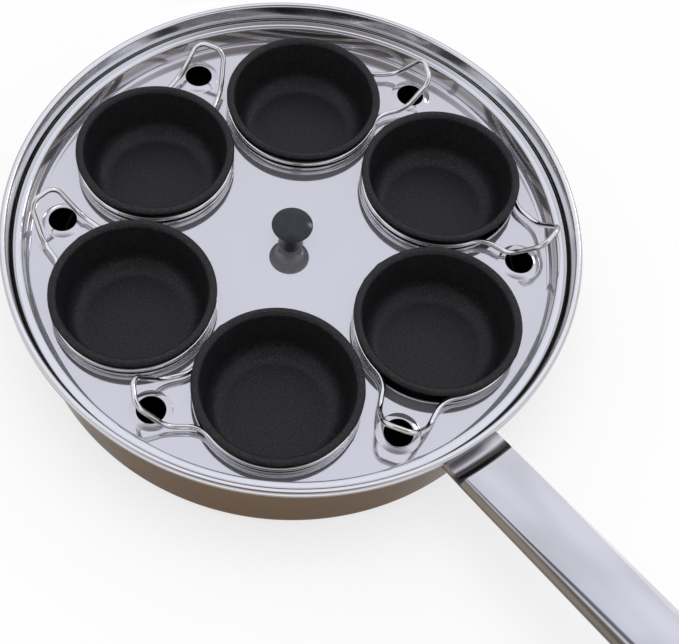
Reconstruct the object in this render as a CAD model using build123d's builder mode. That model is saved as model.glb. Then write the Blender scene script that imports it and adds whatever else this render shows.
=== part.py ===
from build123d import *
from math import acos, cos, degrees, radians, sin
import os

# Poacher pan: a lipped pan, a tray that rests on a ledge inside it, six cups that stand in the
# tray's wells, a bent wire handle round each cup, and one long hollow handle.
# Millimetres, +Z up. Z = 0 is the underside of the base, the pan's axis is the Z axis, and the
# long handle points along +X.

os.makedirs("parts", exist_ok=True)

# Fits
weld_gap = 0.05  # faces that are welded, pressed or moulded together
seat_gap = 0.1  # tray flange above the ledge
loose_gap = 0.3  # cup, wire and collar, which lift apart by hand
overrun = 5.0  # how far a cutting shape reaches past what it cuts

# Pan shell: radii are those of the sheet's outside
pan_height = 66.0
pan_sheet = 0.8
wall_top_radius = 122.6  # just under the ledge
wall_taper = 2.0  # how much narrower the wall is at its foot
floor_bend = 9.0
upstand_height = 10.0  # from the ledge's underside to the top of the lip
ledge_width = 4.1
ledge_bend = 0.8
upstand_flare = 1.1
upstand_bend = 1.6
lip_reach = 2.2
lip_bend = 0.65
lip_drop = 3.1

# Base: aluminium core under a steel cap
base_inset = 22.0  # from the wall's top in to the cap's edge
cap_sheet = 0.6
cap_bend = 2.6
core_clearance = 1.4
core_thickness = 4.0
core_edge_fillet = 2.0

# Tray
tray_sheet = 0.7
rim_clearance = 1.2  # flange inside the pan's upstand
recess_clearance = 0.5  # recess wall inside the pan's wall
recess_depth = 9.6
recess_taper = 1.3
deck_bend = 2.5
flange_bend = 1.2
well_pitch_radius = 77.5
first_well_angle = 19.85
well_clearance = 0.45  # turned-up edge of a well round its cup
collar_width = 2.2
collar_rise = 2.2
collar_bend = 1.5
boss_pitch_radius = 105.0
boss_cut_radius = 10.4
boss_foot_radius = 9.4
boss_rise = 1.2
boss_bend = 2.0
steam_hole_radius = 6.37

# Cups
cup_count = 6
cup_sheet = 1.0
cup_radius = 35.65  # outside of the wall
cup_taper = 3.65
cup_height = 27.0
cup_floor_bend = 11.0
cup_turn_drop = 8.4  # from the lip down to where the wall turns inwards
cup_wall_bend = 20.0
cup_lip_reach = 1.95
cup_lip_height = 4.3
cup_lip_bend = 0.4

# Cup wires: one wire each, a ring under the cup's lip and a raised finger loop
wire_radius = 1.2
skirt_gap = 0.2  # wire ring under the cup's turned-down lip
ring_joint_gap = 0.2
foot_bend = 12.0
arm_offset = 17.2  # from the cup's axis to the line of each arm
arm_lean = 7.4
arm_length = 7.2
knee_bend = 10.0
loop_length = 23.35  # from the ring to the tip
loop_half_width = 6.8
loop_rise = 14.6
loop_bend = 5.0
loop_angles = (-75.5, -65.6, -74.6, -79.7, -71.1, -76.9)  # from each cup's outward direction

# Knob and its fixings
knob_foot_radius = 5.85
knob_waist_radius = 5.3
knob_waist_height = 5.0
knob_neck_radius = 6.1
knob_neck_height = 10.2
knob_rim_radius = 10.4  # before its edge is rounded
knob_rim_height = 13.6
knob_rim_fillet = 0.6
knob_height = 15.9
insert_radius = 2.9
insert_length = 8.0
insert_bore_radius = 2.0
screw_radius = 1.95
screw_length = 8.5
screw_hole_radius = 2.2
washer_radius = 5.0
washer_thickness = 0.8
screw_head_radius = 3.5
screw_head_height = 2.4
screw_head_fillet = 0.9
screw_slot_width = 0.9
screw_slot_length = 4.2
screw_slot_depth = 1.3

# Long handle: stations outwards from the pan's wall, and its seam's height over the ledge
handle_sheet = 1.1
handle_half_width = 14.3
station_reach = (-4.6, 16.4, 42.4, 72.4, 100.4, 132.4, 160.4, 176.4, 186.4, 192.4)
seam_rise = (-6.1, -1.7, 3.8, 10.1, 16.0, 22.5, 27.15, 28.98, 29.73, 30.0)
top_height = (5.0, 5.0, 5.3, 5.7, 6.0, 5.99, 5.7, 5.0, 4.15, 3.4)
bottom_depth = (6.6, 7.3, 8.0, 8.5, 9.0, 8.98, 8.45, 7.25, 5.7, 4.4)
width_shares = (0.98, 1.0, 1.0, 1.0, 1.0, 0.993, 0.919, 0.79, 0.656, 0.55)
facet_shares = (0.86, 0.84, 0.82, 0.76, 0.68, 0.63, 0.595, 0.57, 0.55, 0.53)
crown_share = 0.03
side_shares = (0.5, 0.75, 0.55)
neck_drop = 0.5  # flat neck of the handle under the ledge
neck_length = 15.4
neck_bend = 5.0
hang_hole_inset = 16.0
hang_hole_radius = 4.0
eyelet_radius = 5.0

# Bracket between the pan's wall and the handle
bracket_sheet = 1.5
bracket_half_width = 16.0
bracket_height = 14.2
bracket_drop = 0.8  # from the ledge's underside to the plate's top
bracket_corner_radius = 4.0
tongue_sheet = 1.8
tongue_half_width = 8.0
tongue_reach = 29.4

# Levels and radii that follow from the sizes above
pan_floor_z = cap_sheet + core_thickness
ledge_z = pan_height - upstand_height  # underside of the ledge
wall_foot_radius = wall_top_radius - wall_taper
ledge_outer_radius = wall_top_radius + ledge_width
upstand_top_radius = ledge_outer_radius + upstand_flare
lip_radius = upstand_top_radius + lip_reach
cap_radius = wall_top_radius - base_inset
core_radius = cap_radius - cap_sheet - core_clearance
flange_underside_z = ledge_z + pan_sheet + seat_gap
deck_underside_z = flange_underside_z - recess_depth
deck_z = deck_underside_z + tray_sheet
collar_radius = cup_radius + well_clearance
ring_z = deck_z + collar_rise + loose_gap + wire_radius
ring_radius = cup_radius + loose_gap + wire_radius
bracket_top_z = ledge_z - bracket_drop
bracket_bottom_z = bracket_top_z - bracket_height
station_x = [wall_top_radius + reach for reach in station_reach]
seam_z = [ledge_z + rise for rise in seam_rise]
hang_hole_x = station_x[-1] - hang_hole_inset


def sheet_section(points, bends, thickness):
    """Section of a pressed sheet. The points run outwards along its lower side."""
    with BuildSketch(Plane.XZ) as section:
        with BuildLine():
            FilletPolyline(*points, radius=bends)
            offset(amount=thickness, side=Side.LEFT)
        make_face()
    return section.sketch


def wall_radius(z):
    """Outside radius of the pan's tapered wall at height z."""
    rise_share = (z - pan_floor_z) / (ledge_z - pan_floor_z)
    return wall_foot_radius + (wall_top_radius - wall_foot_radius) * rise_share


# Base cap: shallow steel dish that is pressed over the core up to the pan's floor
with BuildPart() as base_cap:
    revolve(
        sheet_section(
            [(0, 0), (cap_radius, 0), (cap_radius, pan_floor_z - weld_gap)],
            [cap_bend],
            cap_sheet,
        ),
        axis=Axis.Z,
    )
base_cap.part.label = "base_cap"
export_step(base_cap.part, "parts/base_cap.step")

# Base core: solid aluminium disc between the cap and the pan's floor
with BuildPart() as base_core:
    with BuildSketch(Plane.XY.offset(cap_sheet + weld_gap)):
        Circle(core_radius)
    extrude(amount=core_thickness - 2 * weld_gap)
    fillet(base_core.edges().group_by(Axis.Z)[0], radius=core_edge_fillet)
base_core.part.label = "base_core"
export_step(base_core.part, "parts/base_core.step")

# Pan shell: floor, tapered wall, ledge, upstand and the lip that is turned out and down
with BuildPart() as pan_shell:
    revolve(
        sheet_section(
            [
                (0, pan_floor_z),
                (wall_foot_radius, pan_floor_z),
                (wall_top_radius, ledge_z),
                (ledge_outer_radius, ledge_z),
                (upstand_top_radius, pan_height - pan_sheet),
                (lip_radius - pan_sheet, pan_height - pan_sheet),
                (lip_radius - pan_sheet, pan_height - lip_drop),
            ],
            [floor_bend, ledge_bend, upstand_bend, lip_bend, lip_bend],
            pan_sheet,
        ),
        axis=Axis.Z,
    )
pan_shell.part.label = "pan_shell"
export_step(pan_shell.part, "parts/pan_shell.step")


def handle_body(inset):
    """Solid of the handle's outside, drawn in on all sides by the inset."""
    neck_z = ledge_z - neck_drop - inset
    step_radius = wall_top_radius + neck_length + inset
    with BuildPart() as body:
        stations = zip(station_x, seam_z, top_height, bottom_depth, width_shares, facet_shares)
        for x, seam, top, bottom, width_share, facet_share in stations:
            half_width = handle_half_width * width_share - inset
            facet = handle_half_width * width_share * facet_share - inset / 2
            top_z = seam + top - inset
            low_z = seam - bottom + inset
            crown = handle_half_width * crown_share
            if x == station_x[-1]:
                x = x - inset
            side_share, flank_share, sole_share = side_shares
            with BuildSketch(Plane.YZ.offset(x)):
                with BuildLine():
                    ThreePointArc((facet, top_z), (0, top_z + crown), (-facet, top_z))
                    Bezier(
                        (facet, top_z),
                        (half_width, seam + (top_z - seam) * side_share),
                        (half_width, seam),
                    )
                    Bezier(
                        (half_width, seam),
                        (half_width, seam - (seam - low_z) * flank_share),
                        (half_width * sole_share, low_z),
                        (0, low_z),
                    )
                    Bezier(
                        (0, low_z),
                        (-half_width * sole_share, low_z),
                        (-half_width, seam - (seam - low_z) * flank_share),
                        (-half_width, seam),
                    )
                    Bezier(
                        (-half_width, seam),
                        (-half_width, seam + (top_z - seam) * side_share),
                        (-facet, top_z),
                    )
                make_face()
        loft()
        with BuildSketch(Plane.XZ) as over_neck:
            with BuildLine():
                FilletPolyline(
                    (0, neck_z),
                    (step_radius, neck_z),
                    (step_radius, pan_height + overrun),
                    radius=neck_bend + inset,
                )
                Polyline(
                    (step_radius, pan_height + overrun),
                    (0, pan_height + overrun),
                    (0, neck_z),
                )
            make_face()
        revolve(axis=Axis.Z, mode=Mode.SUBTRACT)
    return body.part


def inside_of_radius(clearance):
    """Solid that fills the pan's wall out to the clearance, for trimming what meets it."""
    low_z = bracket_bottom_z - overrun
    high_z = pan_height + overrun
    with BuildPart() as filled:
        with BuildSketch(Plane.XZ):
            with BuildLine():
                Polyline(
                    (0, low_z),
                    (wall_radius(low_z) + clearance, low_z),
                    (wall_radius(high_z) + clearance, high_z),
                    (0, high_z),
                    close=True,
                )
            make_face()
        revolve(axis=Axis.Z)
    return filled.part


handle_outside = handle_body(0)
handle_inside = handle_body(handle_sheet)
bracket_outside = inside_of_radius(weld_gap + bracket_sheet)
seam_points = list(zip(station_x, seam_z))

# Everything under the seam, for parting the two shells
with BuildPart() as under_seam:
    with BuildSketch(Plane.XZ):
        with BuildLine():
            Spline(*seam_points)
            Polyline(
                seam_points[-1],
                (station_x[-1] + overrun, seam_z[-1]),
                (station_x[-1] + overrun, 0),
                (station_x[0] - overrun, 0),
                (station_x[0] - overrun, seam_z[0]),
                seam_points[0],
            )
        make_face()
    extrude(amount=handle_half_width + overrun, both=True)

# Round hole through both shells near the handle's end
with BuildPart() as hang_hole:
    with BuildSketch(Plane.XY.offset(seam_z[0])):
        with Locations((hang_hole_x, 0)):
            Circle(eyelet_radius + weld_gap)
    extrude(amount=seam_z[-1])

# Upper and lower handle shells: pressed halves that are welded along the seam
with BuildPart() as handle_upper_shell:
    add(handle_outside)
    add(handle_inside, mode=Mode.SUBTRACT)
    add(bracket_outside, mode=Mode.SUBTRACT)
    add(hang_hole.part, mode=Mode.SUBTRACT)
    add(under_seam.part, mode=Mode.SUBTRACT)
handle_upper_shell.part.label = "handle_upper_shell"
export_step(handle_upper_shell.part, "parts/handle_upper_shell.step")

with BuildPart() as handle_lower_shell:
    add(handle_outside)
    add(handle_inside, mode=Mode.SUBTRACT)
    add(bracket_outside, mode=Mode.SUBTRACT)
    add(hang_hole.part, mode=Mode.SUBTRACT)
    add(under_seam.part, mode=Mode.INTERSECT)
handle_lower_shell.part.label = "handle_lower_shell"
export_step(handle_lower_shell.part, "parts/handle_lower_shell.step")

# Hanging eyelet: tube that lines the hole and ends flush with both shells
with BuildPart() as hang_eyelet:
    with BuildSketch(Plane.XY.offset(seam_z[0])):
        with Locations((hang_hole_x, 0)):
            Circle(eyelet_radius)
            Circle(hang_hole_radius, mode=Mode.SUBTRACT)
    extrude(amount=seam_z[-1])
    add(handle_outside, mode=Mode.INTERSECT)
hang_eyelet.part.label = "hang_eyelet"
export_step(hang_eyelet.part, "parts/hang_eyelet.step")

# Bracket: curved plate spot welded to the wall, with a tongue that lines the upper shell
with BuildPart() as tongue:
    add(handle_body(handle_sheet + weld_gap))
    add(handle_body(handle_sheet + weld_gap + tongue_sheet), mode=Mode.SUBTRACT)
    add(under_seam.part, mode=Mode.SUBTRACT)
    add(inside_of_radius(weld_gap + bracket_sheet / 2), mode=Mode.SUBTRACT)
    with BuildSketch():
        with Locations((wall_top_radius + tongue_reach, 0)):
            Rectangle(
                wall_top_radius + tongue_reach,
                2 * tongue_half_width,
                align=(Align.MAX, Align.CENTER),
            )
    extrude(amount=seam_z[-1], mode=Mode.INTERSECT)

with BuildPart() as handle_bracket:
    with BuildSketch(Plane.YZ):
        with Locations((0, (bracket_bottom_z + bracket_top_z) / 2)):
            RectangleRounded(2 * bracket_half_width, bracket_height, bracket_corner_radius)
    extrude(amount=lip_radius)
    add(bracket_outside, mode=Mode.INTERSECT)
    add(inside_of_radius(weld_gap), mode=Mode.SUBTRACT)
    add(tongue.part)
handle_bracket.part.label = "handle_bracket"
export_step(handle_bracket.part, "parts/handle_bracket.step")

# Edge that is turned up round each well, modelled on the Z axis and then set in place
well_cut_radius = collar_radius + collar_width
with BuildPart() as well_collar:
    revolve(
        sheet_section(
            [
                (collar_radius, deck_z + collar_rise),
                (collar_radius, deck_underside_z),
                (well_cut_radius, deck_underside_z),
            ],
            [collar_bend],
            tray_sheet,
        ),
        axis=Axis.Z,
    )

# Raised boss round each steam hole
with BuildPart() as steam_boss:
    revolve(
        sheet_section(
            [
                (steam_hole_radius, deck_underside_z + boss_rise),
                (boss_foot_radius, deck_underside_z),
                (boss_cut_radius, deck_underside_z),
            ],
            [boss_bend],
            tray_sheet,
        ),
        axis=Axis.Z,
    )

# Tray: flange on the ledge, recessed deck, six wells and six steam holes between them
first_boss_angle = first_well_angle + 180 / cup_count
recess_top_radius = wall_top_radius - pan_sheet - recess_clearance
flange_radius = ledge_outer_radius - pan_sheet - rim_clearance
with BuildPart() as tray:
    revolve(
        sheet_section(
            [
                (0, deck_underside_z),
                (recess_top_radius - recess_taper, deck_underside_z),
                (recess_top_radius, flange_underside_z),
                (flange_radius, flange_underside_z),
            ],
            [deck_bend, flange_bend],
            tray_sheet,
        ),
        axis=Axis.Z,
    )
    with BuildSketch(Plane.XY.offset(deck_underside_z - overrun)):
        with PolarLocations(well_pitch_radius, cup_count, first_well_angle):
            Circle(well_cut_radius)
        with PolarLocations(boss_pitch_radius, cup_count, first_boss_angle):
            Circle(boss_cut_radius)
        Circle(screw_hole_radius)
    extrude(amount=tray_sheet + 2 * overrun, mode=Mode.SUBTRACT)
    with PolarLocations(well_pitch_radius, cup_count, first_well_angle):
        add(well_collar.part)
    with PolarLocations(boss_pitch_radius, cup_count, first_boss_angle):
        add(steam_boss.part)
tray.part.label = "tray"
export_step(tray.part, "parts/tray.step")

# Tray knob: moulded mushroom with a hollow for the threaded insert
knob_foot_z = deck_z + weld_gap
knob_rim_z = deck_z + knob_rim_height
dome_rise = knob_height - knob_rim_height
dome_radius = (knob_rim_radius**2 + dome_rise**2) / (2 * dome_rise)
with BuildPart() as tray_knob:
    with BuildSketch(Plane.XZ) as knob_section:
        with BuildLine():
            Spline(
                (knob_foot_radius, knob_foot_z),
                (knob_waist_radius, deck_z + knob_waist_height),
                (knob_neck_radius, deck_z + knob_neck_height),
                (knob_rim_radius, knob_rim_z),
            )
            RadiusArc((knob_rim_radius, knob_rim_z), (0, deck_z + knob_height), -dome_radius)
            Polyline(
                (0, deck_z + knob_height),
                (0, knob_foot_z + insert_length + weld_gap),
                (insert_radius + weld_gap, knob_foot_z + insert_length + weld_gap),
                (insert_radius + weld_gap, knob_foot_z),
                (knob_foot_radius, knob_foot_z),
            )
        make_face()
        fillet(knob_section.vertices().sort_by(Axis.X)[-1], radius=knob_rim_fillet)
    revolve(axis=Axis.Z)
tray_knob.part.label = "tray_knob"
export_step(tray_knob.part, "parts/tray_knob.step")

# Knob insert: threaded metal sleeve moulded into the knob
with BuildPart() as knob_insert:
    with BuildSketch(Plane.XY.offset(knob_foot_z)):
        Circle(insert_radius)
        Circle(insert_bore_radius, mode=Mode.SUBTRACT)
    extrude(amount=insert_length)
knob_insert.part.label = "knob_insert"
export_step(knob_insert.part, "parts/knob_insert.step")

# Knob washer: spreads the screw's load under the deck
washer_z = deck_underside_z - weld_gap - washer_thickness
with BuildPart() as knob_washer:
    with BuildSketch(Plane.XY.offset(washer_z)):
        Circle(washer_radius)
        Circle(screw_hole_radius, mode=Mode.SUBTRACT)
    extrude(amount=washer_thickness)
knob_washer.part.label = "knob_washer"
export_step(knob_washer.part, "parts/knob_washer.step")

# Knob screw: pan head with a cross recess, up through washer and deck into the insert
head_top_z = washer_z - weld_gap
with BuildPart() as knob_screw:
    with BuildSketch(Plane.XY.offset(head_top_z)):
        Circle(screw_head_radius)
    extrude(amount=-screw_head_height)
    fillet(knob_screw.edges().group_by(Axis.Z)[0], radius=screw_head_fillet)
    with BuildSketch(Plane.XY.offset(head_top_z)):
        Circle(screw_radius)
    extrude(amount=screw_length)
    with BuildSketch(Plane.XY.offset(head_top_z - screw_head_height)):
        Rectangle(screw_slot_length, screw_slot_width)
        Rectangle(screw_slot_width, screw_slot_length)
    extrude(amount=screw_slot_depth, mode=Mode.SUBTRACT)
knob_screw.part.label = "knob_screw"
export_step(knob_screw.part, "parts/knob_screw.step")

# Cup, modelled on the Z axis: deep drawn, with its lip turned out and down over the wire
cup_skirt_z = ring_z + wire_radius + skirt_gap
cup_crest_z = cup_skirt_z + cup_lip_height
cup_floor_z = cup_crest_z - cup_height
cup_skirt_radius = cup_radius + cup_lip_reach
with BuildPart() as cup_form:
    revolve(
        sheet_section(
            [
                (0, cup_floor_z),
                (cup_radius - cup_taper, cup_floor_z),
                (cup_radius, cup_crest_z - cup_turn_drop),
                (cup_radius, cup_crest_z - cup_sheet),
                (cup_skirt_radius - cup_sheet, cup_crest_z - cup_sheet),
                (cup_skirt_radius - cup_sheet, cup_skirt_z),
            ],
            [cup_floor_bend, cup_wall_bend, cup_lip_bend, cup_lip_bend],
            cup_sheet,
        ),
        axis=Axis.Z,
    )

# Cup wire, with its ring round the origin and its finger loop along +X
foot_share = (arm_offset + foot_bend) / (ring_radius + foot_bend)
foot_angle = 90 - arm_lean - degrees(acos(foot_share))
loop_reach = ring_radius + loop_length
half_joint_angle = ring_joint_gap / ring_radius / 2 / radians(1)
with BuildPart() as wire_form:
    with BuildLine():
        ring = CenterArc(
            (0, 0),
            ring_radius,
            180 - half_joint_angle,
            foot_angle + half_joint_angle - 180,
        )
        foot = JernArc(ring @ 1, ring % 1, foot_bend, 90 - foot_angle - arm_lean)
        FilletPolyline(
            foot @ 1,
            foot @ 1 + (foot % 1) * arm_length,
            (loop_reach, loop_half_width, loop_rise),
            (loop_reach, 0, loop_rise),
            radius=[knee_bend, loop_bend],
        )
        mirror(about=Plane.XZ)
    with BuildSketch(Plane(origin=ring @ 0, z_dir=ring % 0)):
        Circle(wire_radius)
    sweep()

# The six cups and wires in their places, numbered anticlockwise from the long handle
for number, loop_angle in enumerate(loop_angles):
    well_angle = first_well_angle + number * 360 / cup_count
    well_x = well_pitch_radius * cos(radians(well_angle))
    well_y = well_pitch_radius * sin(radians(well_angle))
    with BuildPart() as cup:
        with Locations((well_x, well_y, 0)):
            add(cup_form.part)
    cup.part.label = f"cup_{number + 1}"
    export_step(cup.part, f"parts/cup_{number + 1}.step")
    with BuildPart() as cup_wire:
        with Locations(Location((well_x, well_y, ring_z), (0, 0, well_angle + loop_angle))):
            add(wire_form.part)
    cup_wire.part.label = f"cup_wire_{number + 1}"
    export_step(cup_wire.part, f"parts/cup_wire_{number + 1}.step")
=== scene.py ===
import bmesh
import bpy
from math import acos, cos, pi, radians, sin
from mathutils import Matrix, Vector


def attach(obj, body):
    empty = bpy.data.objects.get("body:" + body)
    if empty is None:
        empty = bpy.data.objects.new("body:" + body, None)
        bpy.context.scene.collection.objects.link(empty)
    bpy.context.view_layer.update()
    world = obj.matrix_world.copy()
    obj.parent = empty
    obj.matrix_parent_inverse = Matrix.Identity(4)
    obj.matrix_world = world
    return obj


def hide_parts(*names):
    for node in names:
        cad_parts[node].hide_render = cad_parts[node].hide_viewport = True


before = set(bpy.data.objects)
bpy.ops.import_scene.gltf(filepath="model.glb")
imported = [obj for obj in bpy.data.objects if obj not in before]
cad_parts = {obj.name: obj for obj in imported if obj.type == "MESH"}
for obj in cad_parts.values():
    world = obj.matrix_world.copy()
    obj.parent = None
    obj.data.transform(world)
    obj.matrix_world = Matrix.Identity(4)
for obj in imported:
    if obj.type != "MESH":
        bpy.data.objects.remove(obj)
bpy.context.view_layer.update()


# Base core: a thick aluminium disc between the pan's floor and the cap.
# Cast and turned, so it is plain grey with fine round tool marks.
metal = bpy.data.materials.new("core_aluminium")
metal.use_nodes = True
tree = metal.node_tree
shader = tree.nodes["Principled BSDF"]
shader.inputs["Base Color"].default_value = (0.6, 0.6, 0.62, 1)
shader.inputs["Metallic"].default_value = 1
shader.inputs["Roughness"].default_value = 0.4
place = tree.nodes.new("ShaderNodeTexCoord")
marks = tree.nodes.new("ShaderNodeTexWave")
marks.wave_type = "RINGS"
marks.rings_direction = "Z"
marks.inputs["Scale"].default_value = 400
bump = tree.nodes.new("ShaderNodeBump")
bump.inputs["Strength"].default_value = 0.1
bump.inputs["Distance"].default_value = 0.0001
tree.links.new(place.outputs["Object"], marks.inputs["Vector"])
tree.links.new(marks.outputs["Color"], bump.inputs["Height"])
tree.links.new(bump.outputs["Normal"], shader.inputs["Normal"])
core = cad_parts["base_core"]
core.data.materials.clear()
core.data.materials.append(metal)

# Base cap: thin stainless dish pressed over the core, brushed in rings on its flat underside.
# Cooking has left it a little dull.
metal = bpy.data.materials.new("cap_steel")
metal.use_nodes = True
tree = metal.node_tree
shader = tree.nodes["Principled BSDF"]
shader.inputs["Base Color"].default_value = (0.55, 0.54, 0.53, 1)
shader.inputs["Metallic"].default_value = 1
place = tree.nodes.new("ShaderNodeTexCoord")
rings = tree.nodes.new("ShaderNodeTexWave")
rings.wave_type = "RINGS"
rings.rings_direction = "Z"
rings.inputs["Scale"].default_value = 300
rings.inputs["Distortion"].default_value = 3
rough = tree.nodes.new("ShaderNodeMapRange")
rough.inputs["To Min"].default_value = 0.25
rough.inputs["To Max"].default_value = 0.4
tree.links.new(place.outputs["Object"], rings.inputs["Vector"])
tree.links.new(rings.outputs["Color"], rough.inputs["Value"])
tree.links.new(rough.outputs["Result"], shader.inputs["Roughness"])
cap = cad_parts["base_cap"]
cap.data.materials.clear()
cap.data.materials.append(metal)

# Pan shell: one stainless sheet, deep drawn with a ledge for the tray and a lip turned out and
# down. Its section is drawn once and turned about the pan's axis. The outside is painted brown up
# to the lip as a painted reflection, the inside is painted darker lower down as painted shade, and
# a dark line of painted shade runs round the ledge.
largest_cut = 0.00866
profile = (
    (0, 0.0046, 0),
    (0.1206, 0.0046, 0.00866),
    (0.1226, 0.056, 0.00077),
    (0.1267, 0.056, 0.00142),
    (0.1278, 0.0652, 0.00058),
    (0.1292, 0.0652, 0.00065),
    (0.1292, 0.0629, 0),
)
mesh = bpy.data.meshes.new("pan_shell_profile")
mesh.from_pydata([(r, 0, z) for r, z, cut in profile], [(i, i + 1) for i in range(len(profile) - 1)], [])
weights = mesh.attributes.new("bevel_weight_vert", "FLOAT", "POINT")
weights.data.foreach_set("value", [cut / largest_cut for r, z, cut in profile])
shape = bpy.data.objects.new("pan_shell_profile", mesh)
bpy.context.collection.objects.link(shape)
bends = shape.modifiers.new("bends", "BEVEL")
bends.affect = "VERTICES"
bends.limit_method = "WEIGHT"
bends.width = largest_cut
bends.segments = 8
bends.use_clamp_overlap = False
turn = shape.modifiers.new("turn", "SCREW")
turn.steps = turn.render_steps = 512
turn.use_merge_vertices = True
turn.merge_threshold = 0.00001
turn.use_normal_calculate = True
sheet = shape.modifiers.new("sheet", "SOLIDIFY")
sheet.thickness = 0.0008
sheet.offset = 1
sheet.use_even_offset = True
graph = bpy.context.evaluated_depsgraph_get()
shell = bpy.data.objects.new(
    "pan_shell_visual", bpy.data.meshes.new_from_object(shape.evaluated_get(graph), depsgraph=graph)
)
bpy.data.objects.remove(shape)
bpy.context.collection.objects.link(shell)
shell.data.shade_smooth()

metal = bpy.data.materials.new("pan_steel")
metal.use_nodes = True
tree = metal.node_tree
shader = tree.nodes["Principled BSDF"]
shader.inputs["Metallic"].default_value = 1
shader.inputs["Specular Tint"].default_value = (0.5, 0.46, 0.43, 1)
place = tree.nodes.new("ShaderNodeTexCoord")
split = tree.nodes.new("ShaderNodeSeparateXYZ")
height = tree.nodes.new("ShaderNodeMapRange")
height.inputs["From Max"].default_value = 0.066
# Painted reflection: the outside is brown from the foot up to the ledge's height, then pale steel on the
# upstand and lip.
tone = tree.nodes.new("ShaderNodeValToRGB")
tone.color_ramp.elements[0].position = 0.1
tone.color_ramp.elements[0].color = (0.17, 0.12, 0.085, 1)
tone.color_ramp.elements[1].position = 1
tone.color_ramp.elements[1].color = (0.74, 0.74, 0.76, 1)
for stop, color in (
    (0.6, (0.2, 0.15, 0.11, 1)),
    (0.85, (0.25, 0.2, 0.16, 1)),
    (0.875, (0.8, 0.8, 0.8, 1)),
    (0.95, (0.9, 0.9, 0.92, 1)),
    (0.965, (0.78, 0.78, 0.8, 1)),
):
    tone.color_ramp.elements.new(stop).color = color
# Painted shade: the inside is a duller grey lower down and turns pale towards the lip.
inside_shade = tree.nodes.new("ShaderNodeValToRGB")
inside_shade.color_ramp.elements[0].position = 0.2
inside_shade.color_ramp.elements[0].color = (0.46, 0.44, 0.42, 1)
inside_shade.color_ramp.elements[1].position = 0.95
inside_shade.color_ramp.elements[1].color = (0.9, 0.9, 0.92, 1)
inside_shade.color_ramp.elements.new(0.86).color = (0.56, 0.54, 0.52, 1)
inside_shade.color_ramp.elements.new(0.875).color = (0.8, 0.8, 0.8, 1)
flat_place = tree.nodes.new("ShaderNodeVectorMath")
flat_place.operation = "MULTIPLY"
flat_place.inputs[1].default_value = (1, 1, 0)
away = tree.nodes.new("ShaderNodeVectorMath")
away.operation = "DOT_PRODUCT"
outside = tree.nodes.new("ShaderNodeMath")
outside.operation = "GREATER_THAN"
outside.inputs[1].default_value = 0.02
both_sides = tree.nodes.new("ShaderNodeMix")
both_sides.data_type = "RGBA"
turned = tree.nodes.new("ShaderNodeNewGeometry")
outward = tree.nodes.new("ShaderNodeSeparateXYZ")
level = tree.nodes.new("ShaderNodeMath")
level.operation = "GREATER_THAN"
level.inputs[1].default_value = 0.6
# Painted shade: level faces at the ledge's height are near black, as the gap under the lip lies in
# shadow.
ledge_height = tree.nodes.new("ShaderNodeMath")
ledge_height.operation = "COMPARE"
ledge_height.inputs[1].default_value = 0.0568
ledge_height.inputs[2].default_value = 0.0008
ledge = tree.nodes.new("ShaderNodeMath")
ledge.operation = "MULTIPLY"
ledge_shade = tree.nodes.new("ShaderNodeMix")
ledge_shade.data_type = "RGBA"
ledge_shade.inputs[7].default_value = (0.02, 0.018, 0.018, 1)
smudges = tree.nodes.new("ShaderNodeTexNoise")
smudges.inputs["Scale"].default_value = 45
smudges.inputs["Detail"].default_value = 4
wear = tree.nodes.new("ShaderNodeMapRange")
wear.inputs["From Min"].default_value = 0.3
wear.inputs["From Max"].default_value = 0.7
wear.inputs["To Min"].default_value = 0.13
wear.inputs["To Max"].default_value = 0.24
tree.links.new(place.outputs["Object"], split.inputs["Vector"])
tree.links.new(split.outputs["Z"], height.inputs["Value"])
tree.links.new(height.outputs["Result"], tone.inputs["Fac"])
tree.links.new(turned.outputs["True Normal"], outward.inputs["Vector"])
tree.links.new(outward.outputs["Z"], level.inputs[0])
tree.links.new(split.outputs["Z"], ledge_height.inputs[0])
tree.links.new(level.outputs["Value"], ledge.inputs[0])
tree.links.new(ledge_height.outputs["Value"], ledge.inputs[1])
tree.links.new(ledge.outputs["Value"], ledge_shade.inputs["Factor"])
tree.links.new(height.outputs["Result"], inside_shade.inputs["Fac"])
tree.links.new(place.outputs["Object"], flat_place.inputs[0])
tree.links.new(flat_place.outputs["Vector"], away.inputs[0])
tree.links.new(turned.outputs["True Normal"], away.inputs[1])
tree.links.new(away.outputs["Value"], outside.inputs[0])
tree.links.new(outside.outputs["Value"], both_sides.inputs["Factor"])
tree.links.new(inside_shade.outputs["Color"], both_sides.inputs[6])
tree.links.new(tone.outputs["Color"], both_sides.inputs[7])
tree.links.new(both_sides.outputs[2], ledge_shade.inputs[6])
tree.links.new(ledge_shade.outputs[2], shader.inputs["Base Color"])
tree.links.new(place.outputs["Object"], smudges.inputs["Vector"])
tree.links.new(smudges.outputs["Fac"], wear.inputs["Value"])
tree.links.new(wear.outputs["Result"], shader.inputs["Roughness"])
shell.data.materials.append(metal)
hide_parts("pan_shell")
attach(shell, "pan")

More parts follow.
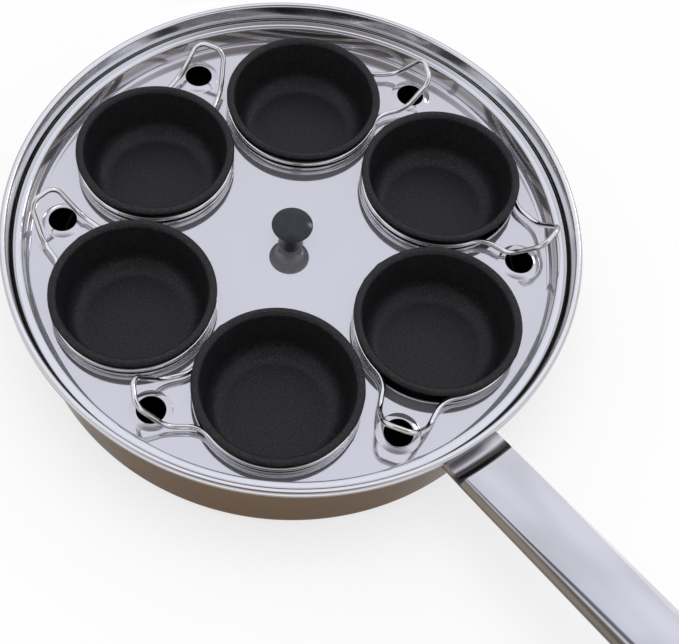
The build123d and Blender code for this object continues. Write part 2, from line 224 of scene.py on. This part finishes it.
# Handle bracket: curved steel plate spot welded to the wall, whose tongue lines the handle's root.
# Left as it comes from the press, a duller grey than the polished pieces.
metal = bpy.data.materials.new("bracket_steel")
metal.use_nodes = True
tree = metal.node_tree
shader = tree.nodes["Principled BSDF"]
shader.inputs["Metallic"].default_value = 1
place = tree.nodes.new("ShaderNodeTexCoord")
scale_marks = tree.nodes.new("ShaderNodeTexNoise")
scale_marks.inputs["Scale"].default_value = 220
scale_marks.inputs["Detail"].default_value = 5
tone = tree.nodes.new("ShaderNodeValToRGB")
tone.color_ramp.elements[0].position = 0.35
tone.color_ramp.elements[0].color = (0.3, 0.28, 0.26, 1)
tone.color_ramp.elements[1].position = 0.65
tone.color_ramp.elements[1].color = (0.48, 0.47, 0.46, 1)
wear = tree.nodes.new("ShaderNodeMapRange")
wear.inputs["To Min"].default_value = 0.28
wear.inputs["To Max"].default_value = 0.48
tree.links.new(place.outputs["Object"], scale_marks.inputs["Vector"])
tree.links.new(scale_marks.outputs["Fac"], tone.inputs["Fac"])
tree.links.new(tone.outputs["Color"], shader.inputs["Base Color"])
tree.links.new(scale_marks.outputs["Fac"], wear.inputs["Value"])
tree.links.new(wear.outputs["Result"], shader.inputs["Roughness"])
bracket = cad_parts["handle_bracket"]
bracket.data.materials.clear()
bracket.data.materials.append(metal)

# Handle: two pressed stainless shells welded along the seam, polished, with a crowned top between
# two crisp creases. The hanging eyelet is the same steel.
metal = bpy.data.materials.new("handle_steel")
metal.use_nodes = True
tree = metal.node_tree
shader = tree.nodes["Principled BSDF"]
shader.inputs["Metallic"].default_value = 1
place = tree.nodes.new("ShaderNodeTexCoord")
split = tree.nodes.new("ShaderNodeSeparateXYZ")
along = tree.nodes.new("ShaderNodeMath")
along.operation = "SUBTRACT"
along.inputs[1].default_value = 0.223
past = tree.nodes.new("ShaderNodeMath")
past.operation = "MAXIMUM"
past.inputs[1].default_value = 0
droop = tree.nodes.new("ShaderNodeMath")
droop.operation = "POWER"
droop.inputs[1].default_value = 3
level = tree.nodes.new("ShaderNodeMath")
level.operation = "MULTIPLY_ADD"
level.inputs[1].default_value = -0.2107
over_line = tree.nodes.new("ShaderNodeMath")
over_line.operation = "MULTIPLY_ADD"
over_line.inputs[1].default_value = 6.909
over_seam = tree.nodes.new("ShaderNodeMapRange")
over_seam.inputs["From Min"].default_value = 0.062
over_seam.inputs["From Max"].default_value = 0.079
# Painted light on the faces turned towards -Y, by height over the seam: dark lines as painted shade, a
# brown strip as a painted reflection, and white stops that leave plain steel.
minus_y_painted_light = tree.nodes.new("ShaderNodeValToRGB")
minus_y_painted_light.color_ramp.elements[0].position = 0
minus_y_painted_light.color_ramp.elements[0].color = (0.2, 0.16, 0.12, 1)
minus_y_painted_light.color_ramp.elements[1].position = 1
minus_y_painted_light.color_ramp.elements[1].color = (1, 1, 1, 1)
for stop, color in (
    (0.58, (0.06, 0.045, 0.02, 1)),
    (0.61, (0.08, 0.06, 0.035, 1)),
    (0.64, (0.31, 0.27, 0.21, 1)),
    (0.82, (0.3, 0.28, 0.24, 1)),
    (0.84, (1, 1, 1, 1)),
    (0.865, (1, 1, 1, 1)),
    (0.88, (0.2, 0.2, 0.22, 1)),
    (0.915, (0.3, 0.3, 0.32, 1)),
    (0.93, (1, 1, 1, 1)),
):
    minus_y_painted_light.color_ramp.elements.new(stop).color = color
# Painted light on the top and the other side: brownish low down as a painted reflection, a dark line as
# painted shade, plain steel above.
rest_painted_light = tree.nodes.new("ShaderNodeValToRGB")
rest_painted_light.color_ramp.elements[0].position = 0
rest_painted_light.color_ramp.elements[0].color = (0.4, 0.36, 0.3, 1)
rest_painted_light.color_ramp.elements[1].position = 0.66
rest_painted_light.color_ramp.elements[1].color = (1, 1, 1, 1)
rest_painted_light.color_ramp.elements.new(0.57).color = (0.12, 0.11, 0.1, 1)
rest_painted_light.color_ramp.elements.new(0.6).color = (0.2, 0.19, 0.18, 1)
facing = tree.nodes.new("ShaderNodeNewGeometry")
outward = tree.nodes.new("ShaderNodeSeparateXYZ")
which_side = tree.nodes.new("ShaderNodeMath")
which_side.operation = "GREATER_THAN"
which_side.inputs[1].default_value = -0.4
sides = tree.nodes.new("ShaderNodeMix")
sides.data_type = "RGBA"
flat_place = tree.nodes.new("ShaderNodeVectorMath")
flat_place.operation = "MULTIPLY"
flat_place.inputs[1].default_value = (1, 1, 0)
reach = tree.nodes.new("ShaderNodeVectorMath")
reach.operation = "LENGTH"
# Painted shade: a dark band round the handle's root, next to the pan wall.
from_wall = tree.nodes.new("ShaderNodeMapRange")
from_wall.inputs["From Min"].default_value = 0.13
from_wall.inputs["From Max"].default_value = 0.14
root_shade = tree.nodes.new("ShaderNodeValToRGB")
root_shade.color_ramp.elements[0].position = 0.25
root_shade.color_ramp.elements[0].color = (1, 1, 1, 1)
root_shade.color_ramp.elements[1].position = 0.86
root_shade.color_ramp.elements[1].color = (1, 1, 1, 1)
root_shade.color_ramp.elements.new(0.42).color = (0.3, 0.28, 0.26, 1)
root_shade.color_ramp.elements.new(0.62).color = (0.06, 0.055, 0.05, 1)
root_shade.color_ramp.elements.new(0.8).color = (0.2, 0.19, 0.18, 1)
broad = tree.nodes.new("ShaderNodeMapping")
broad.inputs["Scale"].default_value = (0.35, 1, 1)
broad.inputs["Rotation"].default_value = (0, 0, radians(12))
cloudy = tree.nodes.new("ShaderNodeTexNoise")
cloudy.inputs["Scale"].default_value = 60
cloudy.inputs["Detail"].default_value = 1
tone = tree.nodes.new("ShaderNodeValToRGB")
tone.color_ramp.elements[0].position = 0.3
tone.color_ramp.elements[0].color = (0.61, 0.61, 0.64, 1)
tone.color_ramp.elements[1].position = 0.7
tone.color_ramp.elements[1].color = (0.8, 0.8, 0.85, 1)
side_tone = tree.nodes.new("ShaderNodeMix")
side_tone.data_type = "RGBA"
side_tone.blend_type = "MULTIPLY"
side_tone.inputs["Factor"].default_value = 1
all_tone = tree.nodes.new("ShaderNodeMix")
all_tone.data_type = "RGBA"
all_tone.blend_type = "MULTIPLY"
all_tone.inputs["Factor"].default_value = 1
stretch = tree.nodes.new("ShaderNodeMapping")
stretch.inputs["Scale"].default_value = (0.06, 1, 1)
polish = tree.nodes.new("ShaderNodeTexNoise")
polish.inputs["Scale"].default_value = 900
polish.inputs["Detail"].default_value = 3
wear = tree.nodes.new("ShaderNodeMapRange")
wear.inputs["To Min"].default_value = 0.16
wear.inputs["To Max"].default_value = 0.28
bump = tree.nodes.new("ShaderNodeBump")
bump.inputs["Strength"].default_value = 0.2
bump.inputs["Distance"].default_value = 0.00003
edges = tree.nodes.new("ShaderNodeBevel")
edges.samples = 4
edges.inputs["Radius"].default_value = 0.0005
tree.links.new(place.outputs["Object"], split.inputs["Vector"])
tree.links.new(split.outputs["X"], along.inputs[0])
tree.links.new(along.outputs["Value"], past.inputs[0])
tree.links.new(past.outputs["Value"], droop.inputs[0])
tree.links.new(along.outputs["Value"], level.inputs[0])
tree.links.new(split.outputs["Z"], level.inputs[2])
tree.links.new(droop.outputs["Value"], over_line.inputs[0])
tree.links.new(level.outputs["Value"], over_line.inputs[2])
tree.links.new(over_line.outputs["Value"], over_seam.inputs["Value"])
tree.links.new(over_seam.outputs["Result"], minus_y_painted_light.inputs["Fac"])
tree.links.new(over_seam.outputs["Result"], rest_painted_light.inputs["Fac"])
tree.links.new(facing.outputs["True Normal"], outward.inputs["Vector"])
tree.links.new(outward.outputs["Y"], which_side.inputs[0])
tree.links.new(which_side.outputs["Value"], sides.inputs["Factor"])
tree.links.new(minus_y_painted_light.outputs["Color"], sides.inputs[6])
tree.links.new(rest_painted_light.outputs["Color"], sides.inputs[7])
tree.links.new(place.outputs["Object"], flat_place.inputs[0])
tree.links.new(flat_place.outputs["Vector"], reach.inputs[0])
tree.links.new(reach.outputs["Value"], from_wall.inputs["Value"])
tree.links.new(from_wall.outputs["Result"], root_shade.inputs["Fac"])
tree.links.new(place.outputs["Object"], broad.inputs["Vector"])
tree.links.new(broad.outputs["Vector"], cloudy.inputs["Vector"])
tree.links.new(cloudy.outputs["Fac"], tone.inputs["Fac"])
tree.links.new(tone.outputs["Color"], side_tone.inputs[6])
tree.links.new(sides.outputs[2], side_tone.inputs[7])
tree.links.new(side_tone.outputs[2], all_tone.inputs[6])
tree.links.new(root_shade.outputs["Color"], all_tone.inputs[7])
tree.links.new(all_tone.outputs[2], shader.inputs["Base Color"])
tree.links.new(place.outputs["Object"], stretch.inputs["Vector"])
tree.links.new(stretch.outputs["Vector"], polish.inputs["Vector"])
tree.links.new(polish.outputs["Fac"], wear.inputs["Value"])
tree.links.new(wear.outputs["Result"], shader.inputs["Roughness"])
tree.links.new(polish.outputs["Fac"], bump.inputs["Height"])
tree.links.new(edges.outputs["Normal"], bump.inputs["Normal"])
tree.links.new(bump.outputs["Normal"], shader.inputs["Normal"])
for name in ("handle_upper_shell", "handle_lower_shell", "hang_eyelet"):
    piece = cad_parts[name]
    piece.data.materials.clear()
    piece.data.materials.append(metal)

# Tray: one pressed stainless sheet. The deck is a flat plate with a rim round it, a turned-up
# collar round each well and a raised boss round each steam hole, all joined into one skin.
deck_z = 0.0473
well_pitch = 0.0775
boss_pitch = 0.105
first_well = 19.85
largest_cut = 0.00219
rim = ((0.1175, deck_z, 0), (0.12, deck_z, 0.00219), (0.1213, 0.0569, 0.00105), (0.1247, 0.0569, 0))
profiles = {
    "rim": (512, rim),
    "collar": (96, ((0.0361, 0.0486, 0), (0.0361, deck_z, 0.0004), (0.0383, deck_z, 0))),
    "boss": (96, ((0.00637, 0.0485, 0), (0.0094, deck_z, 0.00038), (0.0104, deck_z, 0))),
    "screw_hole": (24, ((0.0022, deck_z, 0), (0.0026, deck_z, 0))),
}
places = {"rim": [(0, 0, 0)], "collar": [], "boss": [], "screw_hole": [(0, 0, 0)]}
for k in range(6):
    well = radians(first_well + 60 * k)
    hole = radians(first_well + 30 + 60 * k)
    places["collar"].append((well_pitch * cos(well), well_pitch * sin(well), 0))
    places["boss"].append((boss_pitch * cos(hole), boss_pitch * sin(hole), 0))
skin = bmesh.new()
for name, (steps, profile) in profiles.items():
    mesh = bpy.data.meshes.new(name)
    lines = [(i, i + 1) for i in range(len(profile) - 1)]
    mesh.from_pydata([(r, 0, z) for r, z, cut in profile], lines, [])
    weights = mesh.attributes.new("bevel_weight_vert", "FLOAT", "POINT")
    weights.data.foreach_set("value", [cut / largest_cut for r, z, cut in profile])
    shape = bpy.data.objects.new(name, mesh)
    bpy.context.collection.objects.link(shape)
    bends = shape.modifiers.new("bends", "BEVEL")
    bends.affect = "VERTICES"
    bends.limit_method = "WEIGHT"
    bends.width = largest_cut
    bends.segments = 6
    bends.use_clamp_overlap = False
    turn = shape.modifiers.new("turn", "SCREW")
    turn.steps = turn.render_steps = steps
    turn.use_merge_vertices = True
    turn.merge_threshold = 0.00001
    graph = bpy.context.evaluated_depsgraph_get()
    ring = bpy.data.meshes.new_from_object(shape.evaluated_get(graph), depsgraph=graph)
    bpy.data.objects.remove(shape)
    for spot in places[name]:
        ring.transform(Matrix.Translation(spot))
        skin.from_mesh(ring)
        ring.transform(Matrix.Translation(-Vector(spot)))
bmesh.ops.remove_doubles(skin, verts=skin.verts, dist=0.00001)
border = [
    e
    for e in skin.edges
    if e.is_boundary
    and abs(e.verts[0].co.z - deck_z) < 0.00001
    and abs(e.verts[0].co.xy.length - 0.0022) > 0.0001
]
bmesh.ops.triangle_fill(skin, edges=border, use_beauty=True)
bmesh.ops.recalc_face_normals(skin, faces=skin.faces)
deck_face = max(skin.faces, key=lambda f: f.calc_area())
if deck_face.normal.z > 0:
    bmesh.ops.reverse_faces(skin, faces=skin.faces)
mesh = bpy.data.meshes.new("tray_skin")
skin.to_mesh(mesh)
skin.free()
shape = bpy.data.objects.new("tray_skin", mesh)
bpy.context.collection.objects.link(shape)
mesh.shade_smooth()
sheet = shape.modifiers.new("sheet", "SOLIDIFY")
sheet.thickness = 0.0007
sheet.offset = -1
sheet.use_even_offset = True
flat = shape.modifiers.new("flat", "WEIGHTED_NORMAL")
flat.weight = 100
graph = bpy.context.evaluated_depsgraph_get()
tray = bpy.data.objects.new(
    "tray_visual", bpy.data.meshes.new_from_object(shape.evaluated_get(graph), depsgraph=graph)
)
bpy.data.objects.remove(shape)
bpy.context.collection.objects.link(tray)

metal = bpy.data.materials.new("tray_steel")
metal.use_nodes = True
tree = metal.node_tree
shader = tree.nodes["Principled BSDF"]
shader.inputs["Metallic"].default_value = 0.88
place = tree.nodes.new("ShaderNodeTexCoord")
split = tree.nodes.new("ShaderNodeSeparateXYZ")
height = tree.nodes.new("ShaderNodeMapRange")
height.inputs["From Min"].default_value = deck_z
height.inputs["From Max"].default_value = 0.0576
# Painted reflection: the rim's wall turns a darker brownish grey partway up; the deck and flange stay
# pale steel.
tone = tree.nodes.new("ShaderNodeValToRGB")
tone.color_ramp.elements[0].position = 0.1
tone.color_ramp.elements[0].color = (0.7, 0.7, 0.75, 1)
tone.color_ramp.elements[1].position = 1
tone.color_ramp.elements[1].color = (0.8, 0.82, 0.86, 1)
for stop, color in (
    (0.34, (0.66, 0.65, 0.67, 1)),
    (0.5, (0.42, 0.38, 0.35, 1)),
    (0.8, (0.5, 0.47, 0.45, 1)),
):
    tone.color_ramp.elements.new(stop).color = color
haze = tree.nodes.new("ShaderNodeTexNoise")
haze.inputs["Scale"].default_value = 30
haze.inputs["Detail"].default_value = 5
wear = tree.nodes.new("ShaderNodeMapRange")
wear.inputs["From Min"].default_value = 0.35
wear.inputs["From Max"].default_value = 0.7
wear.inputs["To Min"].default_value = 0.05
wear.inputs["To Max"].default_value = 0.1
tree.links.new(place.outputs["Object"], split.inputs["Vector"])
tree.links.new(split.outputs["Z"], height.inputs["Value"])
tree.links.new(height.outputs["Result"], tone.inputs["Fac"])
tree.links.new(tone.outputs["Color"], shader.inputs["Base Color"])
tree.links.new(place.outputs["Object"], haze.inputs["Vector"])
tree.links.new(haze.outputs["Fac"], wear.inputs["Value"])
tree.links.new(wear.outputs["Result"], shader.inputs["Roughness"])
tray.data.materials.append(metal)
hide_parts("tray")
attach(tray, "tray_unit")

# Knob fixings: a brass insert moulded into the knob, and a steel screw and washer under the deck.
for slot, dull, bright, pieces in (
    ("insert_brass", (0.5, 0.33, 0.12, 1), (0.78, 0.56, 0.24, 1), ("knob_insert",)),
    ("screw_steel", (0.42, 0.42, 0.43, 1), (0.62, 0.62, 0.64, 1), ("knob_screw", "knob_washer")),
):
    metal = bpy.data.materials.new(slot)
    metal.use_nodes = True
    tree = metal.node_tree
    shader = tree.nodes["Principled BSDF"]
    shader.inputs["Metallic"].default_value = 1
    place = tree.nodes.new("ShaderNodeTexCoord")
    turned = tree.nodes.new("ShaderNodeTexWave")
    turned.wave_type = "RINGS"
    turned.rings_direction = "Z"
    turned.inputs["Scale"].default_value = 900
    turned.inputs["Distortion"].default_value = 4
    tone = tree.nodes.new("ShaderNodeValToRGB")
    tone.color_ramp.elements[0].color = dull
    tone.color_ramp.elements[1].color = bright
    wear = tree.nodes.new("ShaderNodeMapRange")
    wear.inputs["To Min"].default_value = 0.2
    wear.inputs["To Max"].default_value = 0.36
    tree.links.new(place.outputs["Object"], turned.inputs["Vector"])
    tree.links.new(turned.outputs["Fac"], tone.inputs["Fac"])
    tree.links.new(tone.outputs["Color"], shader.inputs["Base Color"])
    tree.links.new(turned.outputs["Fac"], wear.inputs["Value"])
    tree.links.new(wear.outputs["Result"], shader.inputs["Roughness"])
    for name in pieces:
        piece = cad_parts[name]
        piece.data.materials.clear()
        piece.data.materials.append(metal)

# Tray knob: black moulded mushroom, glossy, screwed down at the middle of the deck. Handling has
# left its gloss a little uneven.
black = bpy.data.materials.new("knob_black")
black.use_nodes = True
tree = black.node_tree
shader = tree.nodes["Principled BSDF"]
place = tree.nodes.new("ShaderNodeTexCoord")
handling = tree.nodes.new("ShaderNodeTexNoise")
handling.inputs["Scale"].default_value = 260
handling.inputs["Detail"].default_value = 4
tone = tree.nodes.new("ShaderNodeValToRGB")
tone.color_ramp.elements[0].position = 0.35
tone.color_ramp.elements[0].color = (0.008, 0.009, 0.013, 1)
tone.color_ramp.elements[1].position = 0.7
tone.color_ramp.elements[1].color = (0.014, 0.016, 0.024, 1)
wear = tree.nodes.new("ShaderNodeMapRange")
wear.inputs["To Min"].default_value = 0.1
wear.inputs["To Max"].default_value = 0.2
tree.links.new(place.outputs["Object"], handling.inputs["Vector"])
tree.links.new(handling.outputs["Fac"], tone.inputs["Fac"])
tree.links.new(tone.outputs["Color"], shader.inputs["Base Color"])
tree.links.new(handling.outputs["Fac"], wear.inputs["Value"])
tree.links.new(wear.outputs["Result"], shader.inputs["Roughness"])
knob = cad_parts["tray_knob"]
knob.data.materials.clear()
knob.data.materials.append(black)

# Cups: deep drawn, with a flat lip turned out over the wire, and a matte black non-stick
# coating with a fine pale speckle. All six have one section, turned about each well's axis.
coating = bpy.data.materials.new("cup_black")
coating.use_nodes = True
tree = coating.node_tree
shader = tree.nodes["Principled BSDF"]
shader.inputs["Roughness"].default_value = 0.42
shader.inputs["Specular IOR Level"].default_value = 0.3
place = tree.nodes.new("ShaderNodeTexCoord")
grain = tree.nodes.new("ShaderNodeTexNoise")
grain.inputs["Scale"].default_value = 1400
grain.inputs["Detail"].default_value = 3
speck = tree.nodes.new("ShaderNodeValToRGB")
speck.color_ramp.elements[0].position = 0.5
speck.color_ramp.elements[0].color = (0.008, 0.008, 0.009, 1)
speck.color_ramp.elements[1].position = 0.75
speck.color_ramp.elements[1].color = (0.035, 0.035, 0.037, 1)
tree.links.new(place.outputs["Object"], grain.inputs["Vector"])
tree.links.new(grain.outputs["Fac"], speck.inputs["Fac"])
tree.links.new(speck.outputs["Color"], shader.inputs["Base Color"])
largest_cut = 0.00855
profile = (
    (0, 0.0304, 0),
    (0.0221, 0.0304, 0),
    (0.0312, 0.0304, 0.00855),
    (0.0342, 0.0571, 0.0011),
    (0.0361, 0.0571, 0.0004),
    (0.0361, 0.0567, 0),
)
mesh = bpy.data.meshes.new("cup_profile")
mesh.from_pydata([(r, 0, z) for r, z, cut in profile], [(i, i + 1) for i in range(len(profile) - 1)], [])
weights = mesh.attributes.new("bevel_weight_vert", "FLOAT", "POINT")
weights.data.foreach_set("value", [cut / largest_cut for r, z, cut in profile])
shape = bpy.data.objects.new("cup_profile", mesh)
bpy.context.collection.objects.link(shape)
bends = shape.modifiers.new("bends", "BEVEL")
bends.affect = "VERTICES"
bends.limit_method = "WEIGHT"
bends.width = largest_cut
bends.segments = 8
bends.use_clamp_overlap = False
turn = shape.modifiers.new("turn", "SCREW")
turn.steps = turn.render_steps = 128
turn.use_merge_vertices = True
turn.merge_threshold = 0.00001
turn.use_normal_calculate = True
sheet = shape.modifiers.new("sheet", "SOLIDIFY")
sheet.thickness = 0.001
sheet.offset = 1
sheet.use_even_offset = True
graph = bpy.context.evaluated_depsgraph_get()
for k in range(6):
    mesh = bpy.data.meshes.new_from_object(shape.evaluated_get(graph), depsgraph=graph)
    cup = bpy.data.objects.new(f"cup_{k + 1}_visual", mesh)
    well = radians(first_well + 60 * k)
    cup.data.transform(Matrix.Translation((well_pitch * cos(well), well_pitch * sin(well), 0)))
    cup.data.materials.append(coating)
    bpy.context.collection.objects.link(cup)
    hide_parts(f"cup_{k + 1}")
    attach(cup, f"cup_unit_{k + 1}")
bpy.data.objects.remove(shape)

# Cup wires: one polished wire each, bent round its cup under the lip and out into a finger loop
# that rises over a steam hole. Its two ends meet in a butt joint opposite the loop.
metal = bpy.data.materials.new("wire_steel")
metal.use_nodes = True
tree = metal.node_tree
shader = tree.nodes["Principled BSDF"]
shader.inputs["Metallic"].default_value = 1
place = tree.nodes.new("ShaderNodeTexCoord")
drawn = tree.nodes.new("ShaderNodeTexNoise")
drawn.inputs["Scale"].default_value = 160
drawn.inputs["Detail"].default_value = 3
tone = tree.nodes.new("ShaderNodeValToRGB")
tone.color_ramp.elements[0].position = 0.3
tone.color_ramp.elements[0].color = (0.8, 0.79, 0.77, 1)
tone.color_ramp.elements[1].position = 0.7
tone.color_ramp.elements[1].color = (0.94, 0.94, 0.95, 1)
wear = tree.nodes.new("ShaderNodeMapRange")
wear.inputs["To Min"].default_value = 0.05
wear.inputs["To Max"].default_value = 0.12
tree.links.new(place.outputs["Object"], drawn.inputs["Vector"])
tree.links.new(drawn.outputs["Fac"], tone.inputs["Fac"])
tree.links.new(tone.outputs["Color"], shader.inputs["Base Color"])
tree.links.new(drawn.outputs["Fac"], wear.inputs["Value"])
tree.links.new(wear.outputs["Result"], shader.inputs["Roughness"])

bending = bpy.data.node_groups.new("wire_along_route", "GeometryNodeTree")
bending.interface.new_socket("Route", in_out="INPUT", socket_type="NodeSocketGeometry")
wire_size = bending.interface.new_socket("Wire Radius", in_out="INPUT", socket_type="NodeSocketFloat")
wire_radius = 0.0012
wire_size.default_value = wire_radius
bending.interface.new_socket("Wire", in_out="OUTPUT", socket_type="NodeSocketGeometry")
given = bending.nodes.new("NodeGroupInput")
section = bending.nodes.new("GeometryNodeCurvePrimitiveCircle")
section.inputs["Resolution"].default_value = 20
drawing = bending.nodes.new("GeometryNodeCurveToMesh")
drawing.inputs["Fill Caps"].default_value = True
smooth = bending.nodes.new("GeometryNodeSetShadeSmooth")
realize = bending.nodes.new("GeometryNodeRealizeInstances")
finish = bending.nodes.new("GeometryNodeSetMaterial")
finish.inputs["Material"].default_value = metal
made = bending.nodes.new("NodeGroupOutput")
bending.links.new(given.outputs["Route"], drawing.inputs["Curve"])
bending.links.new(given.outputs["Wire Radius"], section.inputs["Radius"])
bending.links.new(section.outputs["Curve"], drawing.inputs["Profile Curve"])
bending.links.new(drawing.outputs["Mesh"], smooth.inputs["Geometry"])
bending.links.new(smooth.outputs["Geometry"], realize.inputs["Geometry"])
bending.links.new(realize.outputs["Geometry"], finish.inputs["Geometry"])
bending.links.new(finish.outputs["Geometry"], made.inputs["Wire"])

ring_radius = 0.0359
foot_bend = 0.012
arm_offset = 0.0172
arm_length = 0.0088
loop_tip = 0.0605
loop_half_width = 0.0068
loop_rise = 0.0146
ring_height = 0.0517
ring_end = pi - 0.0027
lean = radians(7.4)
foot = pi / 2 - lean - acos((arm_offset + foot_bend) / (ring_radius + foot_bend))
route = [
    (ring_radius * cos(a), ring_radius * sin(a), 0)
    for a in [ring_end - (ring_end - foot) * i / 60 for i in range(61)]
]
heart = Vector((ring_radius + foot_bend, 0, 0))
heart.rotate(Matrix.Rotation(foot, 3, "Z"))
for i in range(1, 13):
    a = foot + pi + (pi / 2 - foot - lean) * i / 12
    route.append((heart.x + foot_bend * cos(a), heart.y + foot_bend * sin(a), 0))
corners = [
    Vector(route[-1]),
    Vector(route[-1]) + arm_length * Vector((cos(lean), -sin(lean), 0)),
    Vector((loop_tip, loop_half_width, loop_rise)),
    Vector((loop_tip, 0, loop_rise)),
]
for i, bend in ((1, 0.01), (2, 0.006)):
    before = (corners[i - 1] - corners[i]).normalized()
    after = (corners[i + 1] - corners[i]).normalized()
    half = before.angle(after) / 2
    middle = corners[i] + (before + after).normalized() * bend / sin(half)
    start = corners[i] + before * bend / (sin(half) / cos(half))
    turn_axis = (start - middle).cross(corners[i] + after * bend / (sin(half) / cos(half)) - middle)
    for j in range(13):
        step = Matrix.Rotation((pi - 2 * half) * j / 12, 3, turn_axis)
        route.append(tuple(middle + step @ (start - middle)))
route += [(x, -y, z) for x, y, z in reversed(route)]
for k, loop in enumerate((-75.5, -65.6, -74.6, -79.7, -71.1, -76.9)):
    well = radians(first_well + 60 * k)
    curve = bpy.data.curves.new(f"cup_wire_{k + 1}_route", "CURVE")
    curve.dimensions = "3D"
    line = curve.splines.new("POLY")
    line.points.add(len(route) - 1)
    spin = Matrix.Rotation(well + radians(loop), 3, "Z")
    middle = Vector((well_pitch * cos(well), well_pitch * sin(well), ring_height))
    for point, spot in zip(line.points, route):
        point.co = (*(spin @ Vector(spot) + middle), 1)
    shape = bpy.data.objects.new(f"cup_wire_{k + 1}_route", curve)
    bpy.context.collection.objects.link(shape)
    bend_it = shape.modifiers.new("bend", "NODES")
    bend_it.node_group = bending
    bend_it[wire_size.identifier] = wire_radius
    graph = bpy.context.evaluated_depsgraph_get()
    mesh = bpy.data.meshes.new_from_object(shape.evaluated_get(graph), depsgraph=graph)
    wire = bpy.data.objects.new(f"cup_wire_{k + 1}_visual", mesh)
    bpy.data.objects.remove(shape)
    bpy.context.collection.objects.link(wire)
    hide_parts(f"cup_wire_{k + 1}")
    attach(wire, f"cup_unit_{k + 1}")

# Floor: a plain pale sheet that keeps the object's shadow. Seen directly or in polished steel it
# glows a little, so that it stays nearly white.
pale = bpy.data.materials.new("floor_pale")
pale.use_nodes = True
tree = pale.node_tree
shader = tree.nodes["Principled BSDF"]
shader.inputs["Base Color"].default_value = (0.9, 0.9, 0.9, 1)
shader.inputs["Roughness"].default_value = 0.8
seen = tree.nodes.new("ShaderNodeLightPath")
direct = tree.nodes.new("ShaderNodeMath")
direct.operation = "MAXIMUM"
share = tree.nodes.new("ShaderNodeMath")
share.operation = "MULTIPLY"
share.inputs[1].default_value = 0.7
white = tree.nodes.new("ShaderNodeEmission")
white.inputs["Color"].default_value = (1, 1, 1, 1)
mix = tree.nodes.new("ShaderNodeMixShader")
tree.links.new(seen.outputs["Is Camera Ray"], direct.inputs[0])
tree.links.new(seen.outputs["Is Glossy Ray"], direct.inputs[1])
tree.links.new(direct.outputs["Value"], share.inputs[0])
tree.links.new(share.outputs["Value"], mix.inputs["Fac"])
tree.links.new(shader.outputs["BSDF"], mix.inputs[1])
tree.links.new(white.outputs["Emission"], mix.inputs[2])
tree.links.new(mix.outputs["Shader"], tree.nodes["Material Output"].inputs["Surface"])
mesh = bpy.data.meshes.new("floor")
mesh.from_pydata([(-20, -20, 0), (20, -20, 0), (20, 20, 0), (-20, 20, 0)], [], [(0, 1, 2, 3)])
floor = bpy.data.objects.new("floor", mesh)
bpy.context.collection.objects.link(floor)
mesh.materials.append(pale)

# Light: a pale studio that is dim low down and round where the picture is taken from, so that
# polished steel shows both, with a soft lamp overhead and a small one for highlights.
world = bpy.data.worlds.new("studio")
bpy.context.scene.world = world
world.use_nodes = True
tree = world.node_tree
place = tree.nodes.new("ShaderNodeTexCoord")
facing = tree.nodes.new("ShaderNodeVectorMath")
facing.operation = "DOT_PRODUCT"
facing.inputs[1].default_value = (0.389, -0.323, 0.8625)
near_side = tree.nodes.new("ShaderNodeValToRGB")
near_side.color_ramp.elements[0].position = 0.78
near_side.color_ramp.elements[0].color = (1, 1, 1, 1)
near_side.color_ramp.elements[1].position = 1
near_side.color_ramp.elements[1].color = (0.16, 0.14, 0.13, 1)
near_side.color_ramp.elements.new(0.93).color = (0.3, 0.27, 0.26, 1)
split = tree.nodes.new("ShaderNodeSeparateXYZ")
walls = tree.nodes.new("ShaderNodeValToRGB")
walls.color_ramp.elements[0].position = 0
walls.color_ramp.elements[0].color = (0.35, 0.32, 0.3, 1)
walls.color_ramp.elements[1].position = 1
walls.color_ramp.elements[1].color = (0.86, 0.86, 0.94, 1)
walls.color_ramp.elements.new(0.35).color = (0.74, 0.74, 0.78, 1)
both = tree.nodes.new("ShaderNodeMix")
both.data_type = "RGBA"
both.blend_type = "MULTIPLY"
both.inputs["Factor"].default_value = 1
tree.links.new(place.outputs["Generated"], facing.inputs[0])
tree.links.new(place.outputs["Generated"], split.inputs["Vector"])
tree.links.new(facing.outputs["Value"], near_side.inputs["Fac"])
tree.links.new(split.outputs["Z"], walls.inputs["Fac"])
tree.links.new(walls.outputs["Color"], both.inputs[6])
tree.links.new(near_side.outputs["Color"], both.inputs[7])
tree.links.new(both.outputs[2], tree.nodes["Background"].inputs["Color"])
for name, watts, size, spot in (
    ("overhead", 13, 1.0, (0.2, -0.17, 1.5)),
    ("highlight", 0.6, 0.2, (-0.12, 1.1, 0.95)),
):
    lamp = bpy.data.lights.new(name, "AREA")
    lamp.energy = watts
    lamp.size = size
    stand = bpy.data.objects.new(name, lamp)
    stand.visible_glossy = name == "highlight"
    bpy.context.collection.objects.link(stand)
    aim = Vector(spot)
    stand.matrix_world = Matrix.Translation(aim) @ aim.to_track_quat("Z", "Y").to_matrix().to_4x4()

# Camera: at the photograph's angle, above the pan and to the right of its handle. The lens is
# shifted so that the pan fills the picture as it does there.
azimuth = radians(50.283)
raised = radians(59.598)
back = Vector((sin(azimuth) * cos(raised), -cos(azimuth) * cos(raised), sin(raised)))
across = Vector((cos(azimuth), sin(azimuth), 0))
up = back.cross(across)
tilt = radians(4.885)
lens = bpy.data.cameras.new("camera")
lens.lens = 67.48
lens.sensor_width = 36
lens.shift_x = 0.0976
lens.shift_y = -0.0527
camera = bpy.data.objects.new("camera", lens)
bpy.context.collection.objects.link(camera)
sideways = cos(tilt) * across + sin(tilt) * up
upright = cos(tilt) * up - sin(tilt) * across
stand = Matrix((sideways, upright, back)).transposed().to_4x4()
stand.translation = (0.2375, -0.20539, 0.54111)
camera.matrix_world = stand
bpy.context.scene.camera = camera
bpy.context.scene.view_settings.view_transform = "Standard"
